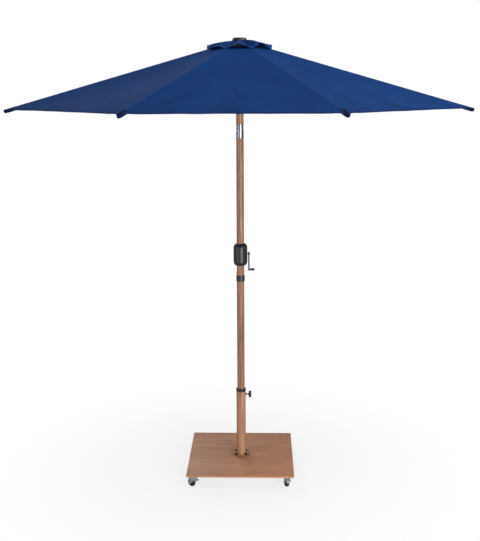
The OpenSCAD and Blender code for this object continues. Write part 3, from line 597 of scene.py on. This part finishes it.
def make_studio():
    bpy.context.scene.view_settings.view_transform = "Standard"
    make_world(0.34)
    softbox("key", (2.1, -4.3, 1.1), target=(0, 0, 1.0), width=1.4, height=2.6, watts=215)
    softbox("fill", (-3.7, -3.0, 1.2), target=(0, 0, 1.2), width=1.2, height=2.4, watts=60)
    softbox("top", (2.2, -0.4, 5.4), target=(0, 0, 2.3), width=3.6, height=3.6, watts=120)
    softbox("rim", (-1.5, 3.4, 3.0), target=(0, 0, 1.6), width=2.0, height=2.0, watts=60)
    make_floor()
    make_backdrop()


# ---- Canopy ------------------------------------------------------------------------------

def panel_place(angle, radius):
    """(distance d to the panel's chord, share t across it from -1 to 1, panel number) of a point."""
    number = round(angle / STEP)
    off = angle - number * STEP
    d = radius * math.cos(off)
    return d, math.tan(off) / TAN_HALF, number % RIBS


def tip_fan(d, t):
    """Fine tension folds that spread from the nearest rib tip."""
    side = 1 - abs(t)
    reach = math.hypot(HEM_D - d, side * HEM_D * TAN_HALF)
    turn = math.atan2(side * HEM_D * TAN_HALF, max(1e-4, HEM_D - d + 0.02))
    fold_reach, fold_depth, folds = 170 * MM, 1.5 * MM, 13
    fade = math.exp(-reach / fold_reach) * smoothstep(side * 9)
    return fold_depth * fade * math.sin(turn * folds)


def cloth_height(angle, radius):
    """Height of the stretched main cloth: ridges on the ribs, a shallow saddle between them."""
    d, t, number = panel_place(angle, radius)
    share = (d - VENT_HOLE_D) / (HEM_D - VENT_HOLE_D)
    hang = 1 - t * t
    sag = (SAG_MID * math.sin(math.pi * max(0.0, min(1.0, share)) ** 1.15) + SAG_HEM * share) * hang
    across = t * d * TAN_HALF
    pull = noise.noise(Vector((across * 7.5, d * 1.5, number * 7.3)))
    ripple = noise.noise(Vector((across * 19.0, d * 3.0, number * 3.1 + 20)))
    loose = (1.5 * MM * pull + 0.45 * MM * ripple) * smoothstep(hang * 2.2) * (0.35 + 0.65 * share)
    return APEX_Z - PANEL_SLOPE * d - sag + loose + tip_fan(d, t)


def cloth_point(rib_angle, column, d, lift=0.0):
    """Point of the main cloth; column runs from -1 to 1 across a rib's section, 0 on the rib."""
    t = 1 - abs(column)
    off = math.atan(t * TAN_HALF)
    side = 1 if column >= 0 else -1
    angle = rib_angle + side * (HALF - off)
    radius = d / math.cos(off)
    return Vector((radius * math.cos(angle), radius * math.sin(angle), cloth_height(angle, radius) + lift))


def hem_line(column):
    t = 1 - abs(column)
    return HEM_D - HEM_CONCAVE * (1 - t * t)


def columns(half_count):
    """Columns across a section, close together on the rib and on the mid-panel lines."""
    side = [(1 - math.cos(math.pi * k / half_count)) / 2 for k in range(half_count + 1)]
    return [-c for c in reversed(side[1:])] + side


def main_section(i, rib_angle):
    rows, places = 64, columns(20)
    grid = []
    for r in range(rows + 1):
        share = r / rows
        grid.append([cloth_point(rib_angle, c, VENT_HOLE_D + (hem_line(c) - VENT_HOLE_D) * share)
                     for c in places])
    def uv(r, c):
        d = VENT_HOLE_D + (hem_line(places[c]) - VENT_HOLE_D) * r / rows
        return (places[c] * d * TAN_HALF, d)
    return closed_sheet(f"canopy_{i}", grid, CLOTH_T, CLOTH, uv)


def hem_section(i, rib_angle):
    width = 22 * MM
    marks = [0.0, 0.04, 0.12, 0.5, 0.86, 0.96, 1.0]
    walls = [1.2 * MM, 1.9 * MM, 2.3 * MM, 2.4 * MM, 2.5 * MM, 2.2 * MM, 1.5 * MM]
    places = columns(20)
    past = 1.2 * MM
    grid = [[cloth_point(rib_angle, c, hem_line(c) + (m - 1) * width + past) for c in places]
            for m in marks]
    def uv(r, c):
        return (places[c] * HEM_D * TAN_HALF, marks[r] * width)
    return closed_sheet(f"hem_{i}", grid, walls, HEM_CLOTH, uv)


def seam_section(i, rib_angle):
    """Felled seam along the ridge, over the rib."""
    half_width, lift, edge_drop = 7 * MM, 0.75 * MM, 0.3 * MM
    seam_to = TIP_R - 12 * MM
    rows = 90
    marks = [-1.0, -0.86, -0.45, 0.0, 0.45, 0.86, 1.0]
    out = Vector((math.cos(rib_angle), math.sin(rib_angle), 0))
    side = Vector((-out.y, out.x, 0))
    grid = []
    for r in range(rows + 1):
        reach = SEAM_FROM + (seam_to - SEAM_FROM) * r / rows
        line = []
        for m in marks:
            flat = out * reach + side * (m * half_width)
            angle = math.atan2(flat.y, flat.x)
            height = cloth_height(angle, flat.length)
            line.append(Vector((flat.x, flat.y, height + lift - edge_drop * (abs(m) == 1))))
        grid.append(line)
    def uv(r, c):
        return (r / rows * TIP_R, (marks[c] + 1) * half_width)
    return closed_sheet(f"seam_{i}", grid, 1.1 * MM, SEAM_CLOTH, uv)


def tip_pocket(i, rib_angle):
    """Sewn pocket under the corner of the cloth that holds the end of a rib."""
    length, girth = 64 * MM, 70 * MM
    # Share of the length, then half widths on top, in the middle and below, and the depth
    rings = [(0.0, 15.5, 9.5, 7.6, 10.6), (0.15, 15.0, 9.4, 7.6, 11.0), (0.45, 13.5, 9.0, 7.4, 11.4),
             (0.75, 11.6, 8.6, 7.2, 11.2), (0.93, 10.2, 8.0, 6.8, 10.4), (1.0, 8.6, 6.6, 5.4, 8.6),
             (1.035, 5.4, 4.4, 3.4, 5.4)]
    top = RIB_H / 2 / MM + 2.6
    turn = Matrix.Rotation(rib_angle, 4, "Z") @ Matrix.Translation((CROWN_R, 0, CROWN_Z))
    turn = turn @ Matrix.Rotation(RIB_SLOPE, 4, "Y")
    points, faces, count = [], [], 0
    for share, wide, middle, narrow, depth in rings:
        along = RIB_LENGTH - length + share * (length + 2 * MM)
        cut = [(-wide, top - 0.5), (-middle, 0.0), (-narrow, 1.5 - depth), (narrow, 1.5 - depth),
               (middle, 0.0), (wide, top - 0.5), (wide * 0.4, top + 0.8), (-wide * 0.4, top + 0.8)]
        shape = rounded([(y * MM, z * MM) for y, z in cut], 3.2 * MM, 3)
        count = len(shape)
        points += [turn @ Vector((along, p[0], p[1])) for p in shape]
    for r in range(len(rings) - 1):
        for k in range(count):
            m = (k + 1) % count
            faces.append((r * count + k, (r + 1) * count + k, (r + 1) * count + m, r * count + m))
    faces.append(tuple(range(count)))
    faces.append(tuple(reversed(range((len(rings) - 1) * count, len(rings) * count))))
    # The pockets take the dark blue that holds painted shade.
    made = add_mesh(f"tip_pocket_{i}", points, faces, SHADED_POCKET_CLOTH, 50)
    layer = made.data.uv_layers.new(name="cloth")
    for loop in made.data.loops:
        r, c = divmod(loop.vertex_index, count)
        layer.data[loop.index].uv = (c / count * girth, rings[r][0] * length)
    return made


def vent_height(angle, radius):
    """Height of the vent flap: tied down on the ribs, arched up between them."""
    d, t, number = panel_place(angle, radius)
    share = max(0.0, (d - VENT_IN_D) / (VENT_OUT_D - VENT_IN_D))
    over_cloth, sag, bow = 3.2 * MM, 2.0 * MM, 6.0 * MM
    ridge_end = APEX_Z - PANEL_SLOPE * VENT_OUT_D + over_cloth
    arch_end = ridge_end + VENT_LIFT
    curve = math.sin(math.pi * min(1, share))
    on_rib = VENT_TOP_Z + (ridge_end - VENT_TOP_Z) * share - sag * curve
    arched = VENT_TOP_Z + (arch_end - VENT_TOP_Z) * share + bow * curve
    rise, lean = VENT_LOBES[number]
    u = t - lean * (1 - t * t)
    hump = rise * max(0.0, 1 - u * u) ** 1.8
    crumple = noise.noise(Vector((t * 3.1, share * 2.6, number * 9.1)))
    depth = 3.6 * MM * share * max(0.0, 1 - t ** 4)
    return on_rib + (arched - on_rib) * hump + crumple * depth


def vent_point(rib_angle, column, share):
    t = 1 - abs(column)
    off = math.atan(t * TAN_HALF)
    side = 1 if column >= 0 else -1
    angle = rib_angle + side * (HALF - off)
    reach = VENT_OUT_D + 4 * MM * (1 - t * t)
    radius = (VENT_IN_D + (reach - VENT_IN_D) * share) / math.cos(off)
    return Vector((radius * math.cos(angle), radius * math.sin(angle), vent_height(angle, radius)))


def vent_section(i, rib_angle):
    rows, places = 20, columns(14)
    grid = [[vent_point(rib_angle, c, r / rows) for c in places] for r in range(rows + 1)]
    def uv(r, c):
        d = VENT_IN_D + (VENT_OUT_D - VENT_IN_D) * r / rows
        return (places[c] * d * TAN_HALF, d)
    return closed_sheet(f"vent_flap_{i}", grid, CLOTH_T, CLOTH, uv)


def vent_rim(i, rib_angle):
    """Bound edge of the vent flap."""
    marks = [0.945, 0.955, 0.975, 0.99, 1.0, 1.008]
    walls = [1.3 * MM, 2.4 * MM, 2.9 * MM, 2.9 * MM, 2.4 * MM, 1.2 * MM]
    places = columns(14)
    grid = [[vent_point(rib_angle, c, m) for c in places] for m in marks]
    def uv(r, c):
        return (places[c] * VENT_OUT_D * TAN_HALF, marks[r] * VENT_OUT_D)
    return closed_sheet(f"vent_rim_{i}", grid, walls, BINDING, uv)


def fold_with(obj):
    """Gives a cloth piece its own copy of its mesh."""
    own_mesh(obj)


def make_canopy():
    for i in range(1, RIBS + 1):
        rib_angle = HALF + (i - 1) * STEP
        body = f"rib_{i}"
        main = main_section(i, rib_angle)
        trims = [hem_section(i, rib_angle), seam_section(i, rib_angle), tip_pocket(i, rib_angle)]
        flap = vent_section(i, rib_angle)
        rim = vent_rim(i, rib_angle)
        for piece in [main, flap, rim] + trims:
            finish_piece(piece, body, "canopy_fabric", "canopy")
        for piece in (main, trims[0]):
            fold_with(piece)
        for piece in (flap, rim):
            fold_with(piece)


# ---- Rigid pieces ------------------------------------------------------------------------

def make_finial():
    low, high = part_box("finial")
    radius = high.x
    top = high.z
    outline = [(0, top - 4.6 * MM), (radius * 0.5, top - 4.6 * MM), (radius * 0.56, top - 0.6 * MM),
               (radius * 0.76, top), (radius * 0.84, top - 2 * MM), (radius * 0.95, top - 10 * MM),
               (radius, top - 16 * MM), (radius, top - 19 * MM), (radius * 0.9, top - 18 * MM),
               (0, top - 11 * MM)]
    steps = 4
    inside = rounded(outline, 2.2 * MM, steps)[steps + 1:-steps - 1]
    profile = [Vector(outline[0])] + inside + [Vector(outline[-1])]
    finish_piece(lathe("finial_cap", profile, FINIAL_GREY), "head", "black_plastic", "finial")
    stud_r, stud_top = 4 * MM, top - 8 * MM
    stud = [(0, low.z), (stud_r, low.z), (stud_r, stud_top), (0, stud_top)]
    finish_piece(lathe("finial_stud", vectors(stud), STEEL, turns=32), "head", "zinc")


def make_crown_washer():
    """Plastic washer that clamps the cloth between the finial and the crown."""
    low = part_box("crown_hub")[1].z + 0.2 * MM
    bore, neck, brim, brim_t, height = 5 * MM, 22 * MM, 44 * MM, 1 * MM, 6 * MM
    outline = [(bore, low), (brim, low), (brim, low + brim_t), (neck, low + height), (bore, low + height)]
    # The washer takes the darker black, which holds painted shade.
    washer = lathe("crown_washer", rounded(outline, 0.6 * MM, 2), SHADED_HUB_BLACK)
    finish_piece(washer, "head", "black_plastic")


def make_collar():
    low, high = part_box("pole_collar")
    outer = high.x
    inner = POLE_R + 0.1 * MM
    mid = (low.z + high.z) / 2
    groove = outer - 0.9 * MM
    draft = 0.6 * MM
    outline = [(inner, low.z), (outer - draft, low.z), (outer, low.z + 3 * MM), (outer, mid - 1.2 * MM),
               (groove, mid - 0.5 * MM), (groove, mid + 0.5 * MM), (outer, mid + 1.2 * MM),
               (outer, high.z - 3 * MM), (outer - draft, high.z), (inner, high.z)]
    collar = lathe("collar", rounded(outline, 1.4 * MM, 3), BLACK)
    finish_piece(collar, "mast", "black_plastic", "pole_collar")


def make_plate():
    low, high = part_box("base_plate")
    half = high.x
    corner, edge = 6 * MM, 1.3 * MM
    steps = 8
    outline = []
    for k, (sx, sy) in enumerate([(1, 1), (-1, 1), (-1, -1), (1, -1)]):
        for s in range(steps + 1):
            angle = math.pi / 2 * (k + s / steps)
            outline.append((sx * (half - corner) + corner * math.cos(angle),
                            sy * (half - corner) + corner * math.sin(angle)))
    levels = edge_rounding(high.z - low.z, edge, 4, low.z)
    plate = stack("plate", outline, levels, PLATE_WOOD)
    finish_piece(plate, "base", "wood_grain_steel", "base_plate")


def make_flange_shade_ring():
    """Painted shade: a dark brown ring laid over the side face of the base tube's flange, where shade
    falls.
    """
    flange_r, flange_t, skin, gap = 51 * MM, 6 * MM, 0.3 * MM, 0.02 * MM
    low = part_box("base_tube")[0].z
    outline = [(flange_r + gap, low + skin), (flange_r + skin, low + 2 * skin),
               (flange_r + skin, low + flange_t - 3 * skin), (flange_r + gap, low + flange_t - 2 * skin)]
    finish_piece(lathe("flange_painted_shade", vectors(outline), FLANGE_SHADE), "base", "wood_grain_steel")


def star(lobes, middle, swing, count=96):
    """Outline of a knob with rounded lobes; its radius swings about its middle value."""
    outline = []
    for k in range(count):
        angle = math.tau * k / count
        radius = middle + swing * math.cos(lobes * angle)
        outline.append((radius * math.cos(angle), radius * math.sin(angle)))
    return outline


def make_knob():
    low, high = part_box("clamp_knob")
    centre_z = (low.z + high.z) / 2
    place = towards_x(low.x, 0, centre_z)
    collar = 3 * MM
    thick = high.x - low.x - collar
    face = collar + thick
    lobes, middle, swing = 6, 17.6 * MM, 2.6 * MM
    levels = edge_rounding(thick, 2.4 * MM, 4, collar)
    head = stack("knob_head", star(lobes, middle, swing), levels, BLACK, place)
    finish_piece(head, "clamp_knob", "black_plastic", "clamp_knob")
    boss = [(0, 0), (9 * MM, 0), (9.6 * MM, collar + 0.5 * MM), (0, collar + 0.5 * MM)]
    finish_piece(lathe("knob_boss", vectors(boss), BLACK, place, 48), "clamp_knob", "black_plastic")
    disc = [(0, face - 0.4 * MM), (7 * MM, face - 0.4 * MM), (7 * MM, face + 0.5 * MM),
            (6 * MM, face + 0.9 * MM), (0, face + 0.9 * MM)]
    finish_piece(lathe("knob_disc", vectors(disc), BLACK, place, 48), "clamp_knob", "black_plastic")


def make_wheels():
    for i in range(1, 5):
        joint = joints[f"wheel_{i}_roll"]
        centre = Vector(joint["pos_m"])
        axis = Vector(joint["axis"]).normalized()
        place = Matrix.Translation(centre) @ axis.to_track_quat("Z", "Y").to_matrix().to_4x4()
        radius, half, bore, hub = 25 * MM, 10 * MM, 3.1 * MM, 8.6 * MM
        shoulder, groove, hub_half, rim = 3.4 * MM, 0.5 * MM, half + 0.7 * MM, 17.8 * MM
        tyre = [(17.5 * MM, shoulder - half), (17.9 * MM, -half), (radius - shoulder, -half),
                (radius, shoulder - half), (radius, -groove), (radius - groove, 0), (radius, groove),
                (radius, half - shoulder), (radius - shoulder, half), (17.9 * MM, half),
                (17.5 * MM, half - shoulder)]
        web = [(bore, -hub_half), (hub, -hub_half), (hub + 0.8 * MM, 3.6 * MM - half),
               (rim, 3.2 * MM - half), (rim, half - 3.2 * MM), (hub + 0.8 * MM, half - 3.6 * MM),
               (hub, hub_half), (bore, hub_half)]
        tread = lathe(f"wheel_tread_{i}", rounded(tyre, 1.5 * MM, 3), TYRE, place, 72)
        disc = lathe(f"wheel_web_{i}", rounded(web, 0.8 * MM, 2), BLACK, place, 48)
        for piece in (tread, disc):
            finish_piece(piece, f"wheel_{i}", "wheel_plastic", f"caster_wheel_{i}")


def make_crank():
    boss_z = Vector(joints["crank_turn"]["pos_m"]).z
    grip_z = Vector(joints["crank_grip_spin"]["pos_m"]).z
    reach = boss_z - grip_z
    arm_x, arm_t = 50 * MM, 8.4 * MM
    boss_r, end_r = 11 * MM, 7 * MM
    lean = math.asin((boss_r - end_r) / reach)
    steps = 24
    outline = []
    for k in range(steps + 1):
        angle = -lean + (math.pi + 2 * lean) * k / steps
        outline.append((boss_r * math.cos(angle), boss_r * math.sin(angle)))
    for k in range(steps + 1):
        angle = math.pi + lean + (math.pi - 2 * lean) * k / steps
        outline.append((end_r * math.cos(angle), end_r * math.sin(angle) - reach))
    levels = edge_rounding(arm_t, 1.6 * MM, 3)
    lever = stack("crank_lever", outline, levels, DARK_PAINT, towards_x(arm_x - arm_t / 2, 0, boss_z))
    finish_piece(lever, "crank", "grey_paint", "crank_arm")

    # Turned pieces of the crank as (radius, height) in millimetres
    at_boss, at_grip = towards_x(arm_x, 0, boss_z), towards_x(arm_x, 0, grip_z)
    boss = [(0, -5), (9.4, -5), (9.8, -3), (9.8, 4), (8.6, 5), (0, 5)]
    screw = [(0, 4.5), (4.8, 4.5), (4.8, 5.6), (4.0, 6.4), (1.4, 6.6), (1.0, 5.4), (0, 5.4)]
    shank = [(0, -2), (3, -2), (3, 33), (4.6, 33), (4.8, 34), (3.4, 34.6), (0, 34.6)]
    turned = [("crank_boss", boss, BLACK, at_boss, 48, "black_plastic"),
              ("crank_screw", screw, STEEL, at_boss, 40, "zinc"),
              ("crank_shank", shank, STEEL, at_grip, 40, "zinc")]
    for name, profile, material, place, turns, slot in turned:
        profile = [(r * MM, z * MM) for r, z in profile]
        finish_piece(lathe(name, vectors(profile), material, place, turns), "crank", slot)
    grip = [(3.1, 4), (5.8, 4), (6.6, 5.2), (6.2, 7), (5.8, 9), (6.4, 15), (7.4, 22), (7.6, 27),
            (7.2, 30.5), (5.8, 32.4), (3.1, 32.4)]
    profile = rounded([(r * MM, z * MM) for r, z in grip], 1.0 * MM, 3)
    handle = lathe("grip", profile, BLACK, at_grip, 56)
    finish_piece(handle, "crank_grip", "black_plastic", "crank_grip")


def housing_point(low, high, side, turn, level):
    """Point of the housing's outer face; turn runs over the half, level up its profile.
    A raised panel lies on the front and the back, and the back has recesses for four screws."""
    radius, corner, rise, neck = 41 * MM, 18 * MM, 26 * MM, POLE_R + 0.4 * MM
    height = high.z - low.z
    flat = radius - corner - neck
    arc = (corner + rise) / 2 * math.pi / 2
    total = 2 * flat + 2 * arc + height - 2 * rise
    run = level * total
    if run < flat:
        r, z = neck + run, 0.0
    elif run < flat + arc:
        a = (run - flat) / arc * math.pi / 2
        r, z = radius - corner + corner * math.sin(a), rise - rise * math.cos(a)
    elif run < total - flat - arc:
        r, z = radius, rise + run - flat - arc
    elif run < total - flat:
        a = (run - (total - flat - arc)) / arc * math.pi / 2
        r, z = radius - corner + corner * math.cos(a), height - rise + rise * math.sin(a)
    else:
        r, z = neck + total - run, height
    x, y = r * math.cos(turn), r * math.sin(turn)
    z += low.z
    mid_z = (low.z + high.z) / 2
    panel_x, panel_z, panel_t = 17 * MM, 51 * MM, 1.5 * MM
    panel = smoothstep((panel_x - abs(x)) / (2.2 * MM) + 0.5)
    panel *= smoothstep((panel_z - abs(z - mid_z)) / (2.6 * MM) + 0.5) * (r > 30 * MM)
    out = panel_t * panel
    screw_x, screw_z, recess_r, recess_t = 31 * MM, 45 * MM, 5.2 * MM, 3.0 * MM
    for sx in (-1, 1):
        for sz in (-1, 1):
            away = math.hypot(x - sx * screw_x, z - mid_z - sz * screw_z)
            out -= recess_t * smoothstep((recess_r - away) / (1.2 * MM)) * (side > 0)
    half_gap = 0.25 * MM
    return Vector((x, y * (1 + out / max(r, 1e-4)) + side * half_gap, z))


def make_housing():
    low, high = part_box("housing_front")
    across, up = 96, 110
    wall, sharp_angle = 2.6 * MM, 40
    for side, name in ((-1, "front"), (1, "back")):
        points, faces = [], []
        for r in range(up + 1):
            for c in range(across + 1):
                turn = side * math.pi * c / across
                points.append(housing_point(low, high, side, turn, r / up))
        for r in range(up):
            for c in range(across):
                a = r * (across + 1) + c
                quad = (a, a + 1, a + across + 2, a + across + 1)
                faces.append(quad if side > 0 else tuple(reversed(quad)))
        shell = add_mesh(f"housing_shell_{name}", points, faces, BLACK, sharp_angle)
        thicken(shell, wall, sharp_angle)
        finish_piece(shell, "mast", "black_plastic", f"housing_{name}")


def thicken(obj, wall, sharp_angle):
    """Gives an open shell its wall on the inner side, as plain mesh."""
    solid = obj.modifiers.new("wall", "SOLIDIFY")
    solid.thickness = wall
    solid.offset = -1
    depsgraph = bpy.context.evaluated_depsgraph_get()
    made = bpy.data.meshes.new_from_object(obj.evaluated_get(depsgraph))
    obj.modifiers.clear()
    obj.data = made
    made.shade_smooth()
    made.set_sharp_from_angle(angle=math.radians(sharp_angle))


def make_cord():
    """Lift cord from the pulley to the runner."""
    low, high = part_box("lift_cord_outer")
    radius = 1.5 * MM
    sides, rings = 12, 90
    top = Vector(((low.x + high.x) / 2 + 0.5 * MM, 0, high.z))
    end = Vector((top.x - 1 * MM, 0, low.z))
    points, faces = [], []
    for r in range(rings + 1):
        centre = top.lerp(end, r / rings)
        points += [centre + Vector((x, y, 0)) for x, y in ring(radius, sides)]
    for r in range(rings):
        for s in range(sides):
            t = (s + 1) % sides
            faces.append((r * sides + s, (r + 1) * sides + s, (r + 1) * sides + t, r * sides + t))
    faces.append(tuple(range(sides)))
    faces.append(tuple(reversed(range(rings * sides, (rings + 1) * sides))))
    cord = add_mesh("lift_cord", points, faces, CORD, 60)
    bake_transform(cord)
    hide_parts("lift_cord_outer")


# ---- Finish of the CAD nodes -------------------------------------------------------------

def dress_nodes():
    finishes = {
        TUBE_WOOD: ["base_tube"],
        # The poles take the darker wood, which holds painted shade.
        POLE_WOOD_SHADED: ["lower_pole", "mid_pole", "upper_pole"],
        BLACK: ["tube_bushing", "runner"],
        SHADED_HUB_BLACK: ["crown_hub"],
        WHITE: ["crank_spool", "cord_pulley"],
        CHROME: ["tilt_socket", "tilt_pin", "tilt_button", "tilt_knuckle", "snap_button"],
        PLATE_PAINT: ["caster_screws"],
        ZINC: ["clamp_screw", "pole_spigot", "runner_pins", "crown_pins"],
        FORK_ZINC: ["caster_mounts"] + [f"caster_fork_{i}" for i in range(1, 5)],
        PEDAL_ZINC: ["caster_brake_1", "caster_brake_2"],
        STEEL: ["housing_screws"],
        OXIDE: ["flange_bolts"],
        RIB_GREY: [f"{kind}_{i}" for kind in ("rib", "strut") for i in range(1, RIBS + 1)],
        CORD: ["lift_cord_lower", "lift_cord_upper"],
    }
    for material, names in finishes.items():
        for name in names:
            for slot in frame["nodes"][name].material_slots:
                slot.material = material


make_camera()
make_studio()
dress_nodes()
make_canopy()
make_finial()
make_crown_washer()
make_collar()
make_plate()
make_flange_shade_ring()
make_knob()
make_wheels()
make_crank()
make_housing()
make_cord()
